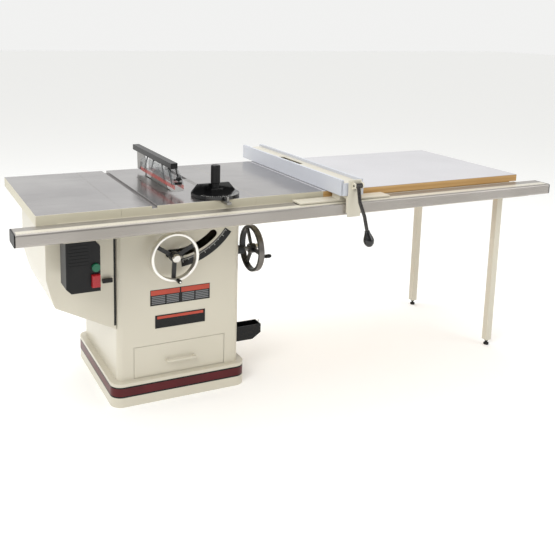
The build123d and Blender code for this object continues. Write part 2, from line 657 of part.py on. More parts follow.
# ---------------------------------------------------------------- handwheels
def wheel_blank():
    """Handwheel about the Z axis: broad rim, three spokes and hub."""
    half = RIM_WIDE / 2
    wheel = rod_z(0, 0, WHEEL_R, -half, half) - rod_z(0, 0, WHEEL_R - RIM_THICK, -half, half)
    wheel = fillet(wheel.edges(), 4)
    for spoke in range(3):
        bar = block(10, WHEEL_R - RIM_THICK + 3, -8, 8, -4, 4)
        wheel += Rot(0, 0, spoke * 120 - 93) * bar
    return wheel + rod_z(0, 0, 20, -14, 12)


def crank_handle():
    """Revolving grip, its axis along Z, with its foot at the origin."""
    grip = rod_z(0, 0, 6.5, 4, 34) + rod_z(0, 0, 8, 10, 28)
    return fillet(grip.edges().sort_by(Axis.Z)[-1:], 2)


def front_place():
    """Front wheel's frame: its axis points at the operator."""
    return Plane(origin=(RAISE_X, WHEEL_Y, RAISE_Z), x_dir=(1, 0, 0), z_dir=(0, -1, 0)).location


def side_place():
    """Side wheel's frame: its axis points to the right."""
    return Plane(origin=(WHEEL_X, TILT_Y, TILT_Z), x_dir=(0, -1, 0), z_dir=(1, 0, 0)).location


def handwheel(place, shaft_radius, turn):
    wheel = Rot(0, 0, turn) * wheel_blank()
    wheel -= rod_z(0, 0, shaft_radius, -15, 13)
    x, y = crank_axis(turn)
    return place * (wheel + rod_z(x, y, 3.5, RIM_WIDE / 2 - 2, RIM_WIDE / 2 + 32))


def crank_axis(turn):
    """Where the crank stands on a wheel that is turned that far."""
    angle = radians(turn - 85)
    return CRANK_REACH * cos(angle), CRANK_REACH * sin(angle)


def crank(place, turn):
    x, y = crank_axis(turn)
    grip = Pos(x, y, RIM_WIDE / 2 - 3) * crank_handle()
    return place * (grip - rod_z(x, y, 3.5 + RUNNING, 0, RIM_WIDE / 2 + 32.5))


def lock_knob(place, shaft_radius):
    """Round knob in the middle of the wheel that locks its shaft."""
    knob = rod_z(0, 0, 17, 12.5, 30) + rod_z(0, 0, shaft_radius - 3, -2, 13)
    return place * chamfer(knob.edges().sort_by(Axis.Z)[-1:], 4)


def raise_worm_shaft():
    shaft = rod_y(RAISE_X, RAISE_Z, RAISE_SHAFT_R, WHEEL_Y - 12, 112)
    for thread in range(8):
        y = 47 + thread * 7
        shaft += rod_y(RAISE_X, RAISE_Z, 13, y, y + 4)
    shaft += rod_y(RAISE_X, RAISE_Z, 10, 47, 103)
    return shaft - rod_y(RAISE_X, RAISE_Z, RAISE_SHAFT_R - 2.95, WHEEL_Y - 13, WHEEL_Y + 4)


def tilt_worm_shaft():
    shaft = rod_x(TILT_Y, TILT_Z, TILT_SHAFT_R, -78, WHEEL_X + 12)
    for thread in range(8):
        x = BLADE_X - 28 + thread * 7
        shaft += rod_x(TILT_Y, TILT_Z, 12, x, x + 4)
    return shaft - rod_x(TILT_Y, TILT_Z, TILT_SHAFT_R - 2.95, WHEEL_X - 4, WHEEL_X + 13)


def tilt_bearings():
    """Flanged bush in the right wall, and a hanger behind the front wall."""
    bush = rod_x(TILT_Y, TILT_Z, 18, CABINET_X, CABINET_X + 30)
    bush += rod_x(TILT_Y, TILT_Z, 13, CABINET_X - 6, CABINET_X)
    hanger = block(-76, -62, -CABINET_Y + SHEET, TILT_Y + 14, TILT_Z - 16, TILT_Z + 12)
    bore = rod_x(TILT_Y, TILT_Z, TILT_SHAFT_R + RUNNING, -90, CABINET_X + 31)
    return [bush - bore, hanger - bore]


# ---------------------------------------------------------------- blade guard
def guard_top_bar():
    """Channel that lifts about the splitter's tail, with its pivot pin."""
    left, right = BLADE_X - GUARD_HALF, BLADE_X + GUARD_HALF
    y0, y1 = -258, GUARD_PIVOT[0] + 22
    bar = block(left, right, y0, y1, 929, 951)
    bar -= block(left + 3, right - 3, y0 + 3, y1 + 1, 928, 948)
    return bar + rod_x(*GUARD_PIVOT, 4, left, right)


def guard_shields():
    """Clear side plates, held apart by spacers across the front."""
    outline = [(-312, 861), (-312, 880), (-293, 905), (-250, 925), (60, 925), (92, 912), (104, 890),
               (100, 868), (90, 861)]
    shields = []
    for x in (BLADE_X - GUARD_HALF - 5, BLADE_X + GUARD_HALF + 2):
        shields.append(plate_x(outline, x, x + 3))
    return shields


def guard_struts():
    """Bars that tie the clear plates to the channel and to each other."""
    struts = []
    for side in (-1, 1):
        near, far = sorted((BLADE_X + side * GUARD_HALF, BLADE_X + side * (GUARD_HALF + 2)))
        for y, foot in ((-232, -280), (-160, -190), (20, 60)):
            strut = [(y - 6, 930), (y + 6, 930), (foot + 6, 868), (foot - 6, 868)]
            struts.append(plate_x(strut, near, far))
    left, right = BLADE_X - GUARD_HALF - 2, BLADE_X + GUARD_HALF + 2
    struts.append(rod_x(-296, 880, 5, left, right))
    knob = rod_x(-306, 900, 8, BLADE_X - 7, BLADE_X + 7)
    struts.append(knob + rod_x(-296, 895, 3, left, right))
    return struts


def kickback_pawls():
    """Toothed pawls on both sides of the splitter, on one pin."""
    outline = [(144, 888), (156, 888), (172, 866), (180, 850), (170, 854), (162, 852), (156, 862), (144, 874)]
    pawls = rod_x(150, 880, 2.95, BLADE_X - 6, BLADE_X + 6)
    for side in (-1, 1):
        near, far = sorted((BLADE_X + side * 1.6, BLADE_X + side * 5))
        pawls += plate_x(outline, near, far)
    return pawls


# ---------------------------------------------------------------- fence
def fence_beam():
    x0, x1 = FENCE_X[0] + FENCE_FACE, FENCE_X[1] - FENCE_FACE
    beam = block(x0, x1, FENCE_Y[0], FENCE_Y[1] - 10, *FENCE_Z)
    beam -= block(x0 + 3, x1 - 3, FENCE_Y[0] - 1, FENCE_Y[1], FENCE_Z[0] + 3, FENCE_Z[1] - 3)
    hole = Pos(598, -42, FENCE_Z[1] - 5) * extrude(Rot(0, 0, 90) * SlotOverall(190, 26), 8)
    return beam - hole


def fence_faces():
    """Two smooth boards, and the moulded cap that closes the front of the beam."""
    faces = [fence_end_cap()]
    for x in (FENCE_X[0], FENCE_X[1] - FENCE_FACE):
        faces.append(block(x, x + FENCE_FACE, FENCE_Y[0] + 6, FENCE_Y[1], FENCE_Z[0] - 1, BOARD_TOP))
    return faces


def fence_end_cap():
    (left, right), (low, high), front = FENCE_X, FENCE_Z, FENCE_Y[0]
    cap = block(left + 4, right - 4, front - 4, front, low, high)
    return cap + block(left + 16, right - 16, front, front + 12, low + 4, high - 4)


def fence_head():
    """Cross arm on the rail, with the clamp plate that hangs in front of it."""
    x0, x1 = 392, 806
    arm = block(x0, x1, -505, -439, 808, 814) + block(x0, x1, -443, -439, 772, 814)
    arm += block(566, 632, -505, -450, 814, FENCE_Z[0])
    arm += block(572, 628, -560, -500, 826, 838) + block(572, 628, -560, -554, 757, 902)
    for x in (572, 624):
        arm += block(x, x + 4, -554, -542, 770, 830)
    for x in (586, 622):
        arm += plate_x([(-560, 866), (-580, 872), (-580, 890), (-560, 896)], x, x + 5)
    return arm - rod_x(-571, 881, 4, 580, 630)


def fence_lever():
    """Cam hub, pin and bent steel lever."""
    lever = rod_x(-571, 881, 9, 592, 621) + rod_x(-571, 881, 4 - RUNNING, 585, 628)
    for start, end in zip(LEVER_PATH, LEVER_PATH[1:]):
        length = (Vector(*end) - Vector(*start)).length
        plane = Plane(origin=start, z_dir=Vector(*end) - Vector(*start))
        lever += plane.location * Pos(0, 0, length / 2) * Cylinder(LEVER_R, length)
        lever += Pos(*start) * Sphere(LEVER_R)
    return lever


def fence_lever_knob():
    """Teardrop grip on the end of the lever."""
    bend, top = (Vector(*point) for point in LEVER_PATH[-2:])
    plane = Plane(origin=top, z_dir=top - bend)
    profile = Polyline((0, 0), (10, 0)) + Spline((10, 0), (15, 18), (21, 40), (15, 57), (0, LEVER_KNOB))
    profile += Line((0, LEVER_KNOB), (0, 0))
    knob = revolve(Plane.XZ * make_face(profile), Axis.Z)
    return plane.location * knob


# ---------------------------------------------------------------- mitre gauge
def mitre_bar():
    x = SLOT_X[1]
    bar = block(x - 9.3, x + 9.3, -478, -20, TABLE_Z - SLOT_DEPTH + 0.4, TABLE_Z - 0.4)
    pivot = rod_z(x, MITRE_Y, 6, TABLE_Z - 4, TABLE_Z + 30)
    stop = block(x - 4, x + 4, -466, -458, TABLE_Z - 1, TABLE_Z + 18)
    return bar + pivot + stop


def mitre_head():
    """Half-round protractor base with the tall face across its back."""
    x, radius = SLOT_X[1], 92
    base = rod_z(x, MITRE_Y, radius, TABLE_Z + 1, TABLE_Z + 13)
    base &= block(x - radius, x + radius, MITRE_Y - radius, MITRE_Y + 24, TABLE_Z, TABLE_Z + 20)
    low, high = TABLE_Z + 1, TABLE_Z + 44
    outline = [(x - 90, low), (x + 90, low), (x + 90, low + 13), (x + 64, high),
               (x - 64, high), (x - 90, low + 13)]
    face = plate_y(outline, MITRE_Y + 16, MITRE_Y + 26)
    brace = block(x - 24, x + 24, MITRE_Y - 20, MITRE_Y + 20, TABLE_Z + 10, TABLE_Z + 30)
    head = base + face + brace
    return head - rod_z(x, MITRE_Y, 6 + RUNNING, TABLE_Z, TABLE_Z + 31)


def mitre_handle():
    """Clamp grip above the pivot."""
    x = SLOT_X[1]
    grip = rod_z(x, MITRE_Y, 14, TABLE_Z + 30.5, TABLE_Z + 46)
    return grip + fillet(rod_z(x, MITRE_Y, 18, TABLE_Z + 46, TABLE_Z + 118).edges(), 5)


# ---------------------------------------------------------------- export
PARTS = {
    "base_plinth": base_plinth, "plinth_stripe": plinth_stripe, "cabinet_shell": cabinet_shell,
    "dust_chute": dust_chute, "dust_port": dust_port, "storage_drawer": storage_drawer,
    "drawer_handle": drawer_handle, "storage_bracket": storage_bracket, "main_table": main_table,
    "table_wings": table_wings, "table_insert": table_insert,
    "table_bolts": table_bolts, "rail_angles": rail_angles, "front_rail_tube": front_rail_tube,
    "rail_end_caps": rail_end_caps, "extension_core": extension_core,
    "extension_laminate": extension_laminate, "extension_frame": extension_frame,
    "extension_legs": extension_legs, "leg_feet": leg_feet,
    "front_plates": front_plates, "switch_box": switch_box, "switch_bracket": switch_bracket,
    "start_button": start_button, "stop_button": stop_button, "motor_cover": motor_cover,
    "cover_hinges": cover_hinges, "cover_latch": cover_latch, "trunnion_brackets": trunnion_brackets,
    "tilt_bearings": tilt_bearings, "tilt_cradle": tilt_cradle, "arm_pivot_shaft": arm_pivot_shaft,
    "splitter": splitter, "arbor_arm": arbor_arm, "motor": motor,
    "drive_belts": drive_belts, "arbor_shaft": arbor_shaft,
    "arbor_nut": arbor_nut, "saw_blade": saw_blade, "motor_pulley": motor_pulley,
    "raise_handwheel": lambda: handwheel(front_place(), RAISE_SHAFT_R, 0),
    "raise_crank": lambda: crank(front_place(), 0),
    "raise_lock_knob": lambda: lock_knob(front_place(), RAISE_SHAFT_R),
    "raise_worm_shaft": raise_worm_shaft,
    "tilt_handwheel": lambda: handwheel(side_place(), TILT_SHAFT_R, 93),
    "tilt_crank": lambda: crank(side_place(), 93),
    "tilt_lock_knob": lambda: lock_knob(side_place(), TILT_SHAFT_R),
    "tilt_worm_shaft": tilt_worm_shaft, "guard_top_bar": guard_top_bar,
    "guard_shields": guard_shields, "guard_struts": guard_struts, "kickback_pawls": kickback_pawls,
    "fence_beam": fence_beam, "fence_faces": fence_faces, "fence_head": fence_head,
    "fence_lever": fence_lever, "fence_lever_knob": fence_lever_knob, "mitre_bar": mitre_bar,
    "mitre_head": mitre_head, "mitre_handle": mitre_handle,
}

os.makedirs("parts", exist_ok=True)
for node, make in PARTS.items():
    made = make()
    solids = []
    for piece in made if isinstance(made, list) else [made]:
        solids += piece.solids()
    export_step(solids[0] if len(solids) == 1 else Compound(solids), f"parts/{node}.step")
    print(node, len(solids))
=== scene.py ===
# %% [markdown]
# A cabinet table saw, dressed around its CAD model.
# The CAD model is the frame: it says where every sheet, casting and shaft is, and how each one moves.
# Here each of those nodes gets a real finish and rounded edges, and its dials and labels get marks.

# %% Load the frame
import json
from math import radians
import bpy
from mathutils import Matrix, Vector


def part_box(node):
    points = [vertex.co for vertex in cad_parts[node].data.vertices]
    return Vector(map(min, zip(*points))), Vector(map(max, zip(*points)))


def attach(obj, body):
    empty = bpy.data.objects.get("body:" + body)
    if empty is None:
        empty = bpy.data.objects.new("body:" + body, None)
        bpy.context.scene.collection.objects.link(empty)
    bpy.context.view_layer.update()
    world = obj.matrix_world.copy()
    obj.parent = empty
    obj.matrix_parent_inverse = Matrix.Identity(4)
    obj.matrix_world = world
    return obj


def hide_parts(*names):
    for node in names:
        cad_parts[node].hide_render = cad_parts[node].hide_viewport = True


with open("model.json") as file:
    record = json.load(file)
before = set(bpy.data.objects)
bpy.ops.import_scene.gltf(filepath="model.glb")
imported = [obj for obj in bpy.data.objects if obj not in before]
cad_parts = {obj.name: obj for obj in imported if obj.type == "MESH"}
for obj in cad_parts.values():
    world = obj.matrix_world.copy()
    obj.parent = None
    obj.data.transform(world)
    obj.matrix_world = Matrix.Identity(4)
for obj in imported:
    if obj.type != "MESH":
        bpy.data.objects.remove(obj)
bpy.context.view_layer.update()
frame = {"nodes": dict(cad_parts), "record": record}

from types import SimpleNamespace

import bmesh
import bpy
from mathutils import Matrix, Vector

MM = 0.001
RECORD = frame["record"]
BODY_OF = {node: body for body, nodes in RECORD["behaviour"]["bodies"].items() for node in nodes}

# %% [markdown]
# Blender's shaders want linear colour, and a paint chart gives sRGB hex values.
# One function turns the first into the second, so that every colour below can be read off a chart.


# %% Colours
def linear(code):
    """Linear RGBA of an sRGB hex value such as #c8c1af."""
    channels = [int(code[i:i + 2], 16) / 255 for i in (1, 3, 5)]
    return [c / 12.92 if c <= 0.04045 else ((c + 0.055) / 1.055) ** 2.4 for c in channels] + [1.0]


# %% [markdown]
# A material is a small tree of nodes. One function adds a node, sets it and links it, so a recipe
# reads from top to bottom. Patterns read Object coordinates, which are metres here, so a pattern's
# scale is simply one divided by the real size of a grain, a scratch or a brush mark.


# %% Node helpers
def add(tree, kind, inputs=None, **settings):
    """Add one node. Each input is either a plain value or another node's output socket."""
    node = tree.nodes.new(kind)
    for name, value in settings.items():
        setattr(node, name, value)
    for socket, value in (inputs or {}).items():
        if isinstance(value, bpy.types.NodeSocket):
            tree.links.new(value, node.inputs[socket])
        else:
            node.inputs[socket].default_value = value
    return node


def link_shader(tree, shader, links):
    """Link outputs to the shader's sockets of those names."""
    for socket, value in links.items():
        tree.links.new(value, shader.inputs[socket])


def per_metre(millimetres):
    """Texture scale that makes one feature of a pattern that many millimetres wide."""
    return 1000 / millimetres


def start_material(name, **values):
    """A material with one Principled shader, and the place of each point in metres."""
    material = bpy.data.materials.new(name)
    material.use_nodes = True
    tree = material.node_tree
    tree.nodes.clear()
    shader = add(tree, "ShaderNodeBsdfPrincipled")
    for socket, value in values.items():
        shader.inputs[socket.replace("_", " ")].default_value = value
    add(tree, "ShaderNodeOutputMaterial", {"Surface": shader.outputs[0]})
    place = add(tree, "ShaderNodeTexCoord").outputs["Object"]
    return material, tree, shader, place


# %% [markdown]
# Nearly every finish here is made the same way: a colour that drifts over wide patches, as paint,
# castings and plastic do, and a fine grain that both breaks up the gloss and lifts the surface a
# little. So one recipe lays that down, and the finishes differ in their colours and real sizes.


# %% The common recipe
def surface(name, light, dark, rough, patch=120, grain=5, depth=0.04, stretch=(1, 1, 1), **values):
    """Finish with colour patches and a fine grain. Sizes are in millimetres; stretch draws the grain out."""
    material, tree, shader, place = start_material(name, **values)
    wide = add(tree, "ShaderNodeTexNoise", {"Vector": place, "Scale": per_metre(patch), "Detail": 2.0})
    tone = add(tree, "ShaderNodeMapRange", {"Value": wide.outputs[0], "From Min": 0.3, "From Max": 0.7})
    colour = add(tree, "ShaderNodeMix", {0: tone.outputs[0], 6: linear(light), 7: linear(dark)},
                 data_type="RGBA")
    drawn = add(tree, "ShaderNodeMapping", {"Vector": place, "Scale": [1 / s for s in stretch]})
    fine = add(tree, "ShaderNodeTexNoise", {"Vector": drawn.outputs[0], "Scale": per_metre(grain),
                                            "Detail": 2.0})
    gloss = add(tree, "ShaderNodeMapRange", {"Value": fine.outputs[0], "From Min": 0.3, "From Max": 0.7,
                                             "To Min": rough[0], "To Max": rough[1]})
    bump = add(tree, "ShaderNodeBump", {"Height": fine.outputs[0], "Distance": depth * MM, "Strength": 0.5})
    link_shader(tree, shader, {"Base Color": colour.outputs[2], "Roughness": gloss.outputs[0],
                               "Normal": bump.outputs[0]})
    return SimpleNamespace(material=material, tree=tree, shader=shader, place=place,
                           colour=colour.outputs[2], gloss=gloss.outputs[0])


# %% [markdown]
# The cabinet is folded steel sheet under gloss enamel. Sprayed enamel is never dead flat: it dries
# with a faint orange peel a few millimetres across, which softens the edge of every reflection.
# The motor, the brackets and the guard's frame have a thinner satin black.


# %% Sprayed enamels
CREAM = surface("cream_enamel_on_sheet_steel", "#cdc7b7", "#c9c3b2", (0.28, 0.33), 400, 5, 0.03,
                Coat_Weight=0.2, Coat_Roughness=0.15).material
BLACK_ENAMEL = surface("satin_black_enamel", "#09090a", "#0e0e0f", (0.26, 0.36), 90, 4,
                       Specular_IOR_Level=0.3).material
SLATE_ENAMEL = surface("dark_grey_motor_enamel", "#202123", "#2a2b2d", (0.35, 0.5), 90, 4).material

# %% [markdown]
# The base carries a dark red band between two black pinstripes. A sprayer masks these by height,
# so the material reads the height of each point and picks red between the lines and black outside.


# %% Masked stripe
def masked_stripe(name, node, line):
    """Red enamel with a black line of that many millimetres along both edges of the node."""
    red = surface(name, "#571219", "#4c1016", (0.28, 0.36), 90, 5, 0.03, Specular_IOR_Level=0.3)
    low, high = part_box(node)
    middle, half = (low.z + high.z) / 2, (high.z - low.z) / 2
    height = add(red.tree, "ShaderNodeSeparateXYZ", {0: red.place}).outputs[2]
    away = add(red.tree, "ShaderNodeMath", {0: height, 1: middle}, operation="SUBTRACT").outputs[0]
    distance = add(red.tree, "ShaderNodeMath", {0: away}, operation="ABSOLUTE").outputs[0]
    is_line = add(red.tree, "ShaderNodeMath", {0: distance, 1: half - line * MM}, operation="GREATER_THAN")
    both = add(red.tree, "ShaderNodeMix", {0: is_line.outputs[0], 6: red.colour, 7: linear("#0c0c0d")},
               data_type="RGBA")
    link_shader(red.tree, red.shader, {"Base Color": both.outputs[2]})
    return red.material


STRIPE = masked_stripe("masked_maroon_stripe", "plinth_stripe", 6)

# %% [markdown]
# The top is grey cast iron, planed and then ground along its length. Bare iron is a metal in the
# shader. Its grinding marks are under a tenth of a millimetre, so they are drawn a few millimetres
# wide here to show at all, and long. The skirt isn't ground: a mask on which way a face points
# paints it, and the paint is no metal.


# %% Ground iron
def ground_iron(name, painted_ends):
    """Bare iron on top, and enamel on the faces towards Y, below, and towards X if painted_ends."""
    iron = surface(name, "#b3b0af", "#9f9c9c", (0.13, 0.24), 260, 4, 0.006, (60, 1, 1))
    tree = iron.tree
    facing = add(tree, "ShaderNodeSeparateXYZ", {0: add(tree, "ShaderNodeNewGeometry").outputs["Normal"]})
    skirt = add(tree, "ShaderNodeMath", {0: facing.outputs[1]}, operation="ABSOLUTE").outputs[0]
    if painted_ends:
        along = add(tree, "ShaderNodeMath", {0: facing.outputs[0]}, operation="ABSOLUTE").outputs[0]
        skirt = add(tree, "ShaderNodeMath", {0: along, 1: skirt}, operation="MAXIMUM").outputs[0]
    under = add(tree, "ShaderNodeMath", {0: facing.outputs[2], 1: -1}, operation="MULTIPLY").outputs[0]
    skirt = add(tree, "ShaderNodeMath", {0: skirt, 1: under}, operation="MAXIMUM").outputs[0]
    skirt = add(tree, "ShaderNodeMath", {0: skirt, 1: 0.6}, operation="GREATER_THAN").outputs[0]
    bare = add(tree, "ShaderNodeMath", {0: 1, 1: skirt}, operation="SUBTRACT").outputs[0]
    colour = add(tree, "ShaderNodeMix", {0: skirt, 6: iron.colour, 7: linear("#c6c0ab")}, data_type="RGBA")
    dull = add(tree, "ShaderNodeMath", {0: skirt, 1: 0.2}, operation="MULTIPLY").outputs[0]
    rough = add(tree, "ShaderNodeMath", {0: iron.gloss, 1: dull}).outputs[0]
    link_shader(tree, iron.shader, {"Base Color": colour.outputs[2], "Metallic": bare, "Roughness": rough})
    return iron.material


MAIN_IRON = ground_iron("ground_grey_iron_main_table", False)
WING_IRON = ground_iron("ground_grey_iron_wings", True)

# %% [markdown]
# Parts that were sand-cast and never machined are rough: the mould's grains are half a millimetre,
# and the skin is dull. Bright steel comes as drawn bar with marks along it, as turned shafts with
# marks round them, and as brushed or polished tube. Zinc plate is softer and a little warm.

# %% Castings and bright steels
CASTING = surface("sand_cast_grey_iron", "#3c3e40", "#303233", (0.55, 0.75), 70, 2.2, 0.3,
                  Metallic=0.35).material
BAR_STEEL = surface("drawn_bright_steel", "#a19f9c", "#8a8886", (0.26, 0.4), 60, 2, 0.01, (1, 30, 1),
                    Metallic=1.0).material
TURNED_STEEL = surface("turned_steel", "#aeaca9", "#989692", (0.22, 0.36), 60, 2, 0.01, (1, 12, 12),
                       Metallic=1.0).material
TUBE_STEEL = surface("brushed_steel_tube", "#aaa5a0", "#9a958f", (0.26, 0.4), 300, 3, 0.01, (120, 1, 1),
                     Metallic=0.85).material
POLISHED = surface("polished_cast_iron", "#dcd9d4", "#cfccc6", (0.1, 0.2), 60, 6, 0.01, Metallic=1.0).material
DARK_STEEL = surface("blackened_steel_rod", "#4c4a49", "#3e3c3b", (0.22, 0.34), 40, 3, 0.01,
                     Metallic=0.9).material
ZINC = surface("zinc_plated_bolt", "#b0aea3", "#9c9a90", (0.25, 0.4), 30, 4, 0.01, Metallic=1.0).material


# %% [markdown]
# A handwheel is painted all over and then its rim is turned and polished, so the bright metal ends
# at a ring. The mask is the distance from the wheel's own axis.


# %% Handwheels
def wheel_finish(name, node, across, edge, colour, rough):
    """Black enamel, but bright metal further than edge millimetres from the axis that crosses across."""
    black = surface(name, "#101011", "#171718", (0.3, 0.4), 60, 4)
    tree, (low, high) = black.tree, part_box(node)
    split = add(tree, "ShaderNodeSeparateXYZ", {0: black.place})
    squares = []
    for axis in across:
        off = add(tree, "ShaderNodeMath", {0: split.outputs[axis], 1: (low[axis] + high[axis]) / 2},
                  operation="SUBTRACT")
        squares.append(add(tree, "ShaderNodeMath", {0: off.outputs[0], 1: 2}, operation="POWER").outputs[0])
    total = add(tree, "ShaderNodeMath", {0: squares[0], 1: squares[1]}).outputs[0]
    bright = add(tree, "ShaderNodeMath", {0: total, 1: (edge * MM) ** 2}, operation="GREATER_THAN").outputs[0]
    both = add(tree, "ShaderNodeMix", {0: bright, 6: black.colour, 7: linear(colour)}, data_type="RGBA")
    gloss = add(tree, "ShaderNodeMix", {0: bright, 2: black.gloss, 3: rough})
    link_shader(tree, black.shader, {"Base Color": both.outputs[2], "Metallic": bright,
                                     "Roughness": gloss.outputs[0]})
    return black.material


FRONT_WHEEL = wheel_finish("polished_rim_front_wheel", "raise_handwheel", (0, 2), 84.5, "#ebe8e2", 0.3)
SIDE_WHEEL = wheel_finish("turned_rim_side_wheel", "tilt_handwheel", (1, 2), 96, "#77736f", 0.35)

# %% [markdown]
# Moulded parts take the mould's spark-eroded grain, about a millimetre across, which breaks up
# their gloss. A glossy button has almost none of it. Rubber is the same idea, but much rougher.

# %% Moulded plastic and rubber
BLACK_ABS = surface("black_moulded_abs", "#0b0b0c", "#101011", (0.36, 0.48), 40, 1.2, 0.06,
                    Specular_IOR_Level=0.3).material
RED_ABS = surface("red_moulded_abs", "#a01820", "#8d141b", (0.25, 0.35), 40, 1.2, 0.02).material
GREEN_ABS = surface("green_moulded_abs", "#0d6446", "#0a543a", (0.25, 0.35), 40, 1.2, 0.02).material
GLOSS_BLACK = surface("gloss_black_phenolic", "#0a0a0b", "#101011", (0.1, 0.18), 40, 1.5, 0.01,
                      IOR=1.6).material
RUBBER = surface("black_neoprene", "#121212", "#1b1b1b", (0.7, 0.85), 40, 1.5, 0.2).material
PRINT_RED = surface("orange_red_label_ink", "#b8432e", "#ad3d2a", (0.4, 0.5), 40, 1.5, 0.01).material
PRINT_GREY = surface("grey_label_ink", "#77797b", "#6d6f71", (0.4, 0.5), 40, 1.5, 0.01).material
PRINT_WHITE = surface("white_label_ink", "#dddcd6", "#d3d2cc", (0.4, 0.5), 40, 1.5, 0.01).material
PRINT_BLACK = surface("black_label_ink", "#0b0b0c", "#101011", (0.35, 0.45), 40, 1.5, 0.01).material

# %% [markdown]
# The extension's top is melamine paper pressed on board: satin, with a faint print of fine flecks.
# Its edge is a wooden band. Wood is drawn as rings about a far axis, cut lengthwise, so the
# grain runs along the board, with fine pores over it.

# %% Laminate and wood
WHITE_LAMINATE = surface("white_melamine_laminate", "#c3c2c5", "#bdbcbf", (0.3, 0.42), 300, 6, 0.02).material
FENCE_LAMINATE = surface("fence_face_laminate", "#c3c6cd", "#bcbfc6", (0.32, 0.42), 200, 6, 0.02).material


def oiled_wood(name, light, dark):
    """Wood with its grain along X."""
    wood = surface(name, light, dark, (0.4, 0.55), 400, 2.5, 0.08, (25, 1, 1), Coat_Weight=0.1)
    drawn = add(wood.tree, "ShaderNodeMapping", {"Vector": wood.place, "Scale": (0.12, 1, 1)}).outputs[0]
    rings = add(wood.tree, "ShaderNodeTexWave", {"Vector": drawn, "Scale": per_metre(60), "Distortion": 5.0,
                                                 "Detail": 3.0, "Detail Scale": 1.5}, bands_direction="Z")
    ringed = add(wood.tree, "ShaderNodeMix", {0: rings.outputs[1], 6: wood.colour, 7: linear(dark)},
                 data_type="RGBA")
    link_shader(wood.tree, wood.shader, {"Base Color": ringed.outputs[2]})
    return wood.material


EDGE_WOOD = oiled_wood("oiled_edge_band", "#d9b277", "#c3975a")

# %% [markdown]
# The guard is polycarbonate, which is clear but never quite: it is smoky, and chips leave it finely
# scratched. The shader's alpha lets most of the light straight through, as a thin sheet does. The
# lower edge is dyed orange-red as a warning, so the colour and the alpha change at a height.


# %% Clear plastic with a dyed edge
def guard_plastic(name, dye_top):
    """See-through sheet, dyed below a height in millimetres."""
    clear = surface(name, "#8f9394", "#83888a", (0.06, 0.16), 60, 2, 0.01, (1, 18, 1), IOR=1.585)
    tree = clear.tree
    height = add(tree, "ShaderNodeSeparateXYZ", {0: clear.place}).outputs[2]
    dyed = add(tree, "ShaderNodeMath", {0: height, 1: dye_top * MM}, operation="LESS_THAN").outputs[0]
    colour = add(tree, "ShaderNodeMix", {0: dyed, 6: clear.colour, 7: linear("#b5382a")}, data_type="RGBA")
    alpha = add(tree, "ShaderNodeMix", {0: dyed, 2: 0.3, 3: 0.55})
    link_shader(tree, clear.shader, {"Base Color": colour.outputs[2], "Alpha": alpha.outputs[0]})
    return clear.material


CLEAR = guard_plastic("scratched_clear_polycarbonate", 876)
print("materials:", len(bpy.data.materials))

# %% [markdown]
# The camera stands in front and to the left, at chest height, a little turned and tipped.
# Its frame is a bit off its own axis, as when a picture is cropped, so the lens has a small shift.


# %% Camera
def place_camera(at, yaw, pitch, roll, lens, shift):
    """Camera turned by yaw about the vertical, tipped down by pitch and leaned by roll, in degrees."""
    data = bpy.data.cameras.new("camera")
    data.sensor_width = 36
    data.lens = lens
    data.shift_x, data.shift_y = shift
    camera = bpy.data.objects.new("camera", data)
    turn = Matrix.Rotation(radians(yaw), 4, "Z") @ Matrix.Rotation(radians(90 - pitch), 4, "X")
    camera.matrix_world = Matrix.Translation(at) @ turn @ Matrix.Rotation(radians(roll), 4, "Z")
    bpy.context.scene.collection.objects.link(camera)
    bpy.context.scene.camera = camera


place_camera((-1.0356, -3.0122, 1.5023), -25.78, 10.69, 1.26, 50.45, (0.0496, -0.2027))
print("camera: 50 mm lens, 1.5 m above the floor")

# %% [markdown]
# Every new piece ends the same way: its mesh gets smooth shading with sharp edges kept, a material,
# and the CAD body that it rides on.


# %% Piece helper
SHADING_ANGLE = 32


def piece(name, shape, material, node, replaces=False):
    """Object made from a bmesh. It rides with a CAD node's body, and may stand for that node."""
    mesh = bpy.data.meshes.new(name)
    shape.to_mesh(mesh)
    shape.free()
    mesh.materials.append(material)
    mesh.shade_smooth()
    mesh.set_sharp_from_angle(angle=radians(SHADING_ANGLE))
    made = bpy.data.objects.new(name, mesh)
    bpy.context.scene.collection.objects.link(made)
    weighted = made.modifiers.new("flat_faces_stay_flat", "WEIGHTED_NORMAL")
    weighted.keep_sharp = True
    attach(made, BODY_OF[node])
    if replaces:
        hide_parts(node)


# %% [markdown]
# A CAD node arrives as loose triangles with knife-sharp edges, and no real part has those: sheet is
# rolled over at its folds, castings are radiused and turned parts are chamfered, and it is that
# small round that catches the light. So each node is copied, its triangles are merged into whole
# faces, and its hard edges are beveled by a real radius. The copy then stands for the node.


# %% Soften a CAD node
HARD_ANGLE, BEVEL_SEGMENTS = 35, 2


def hard_edges(shape):
    """Edges whose two faces meet more sharply than the hard angle."""
    hard = radians(HARD_ANGLE)
    return [e for e in shape.edges if len(e.link_faces) == 2 and abs(e.calc_face_angle(0)) > hard]


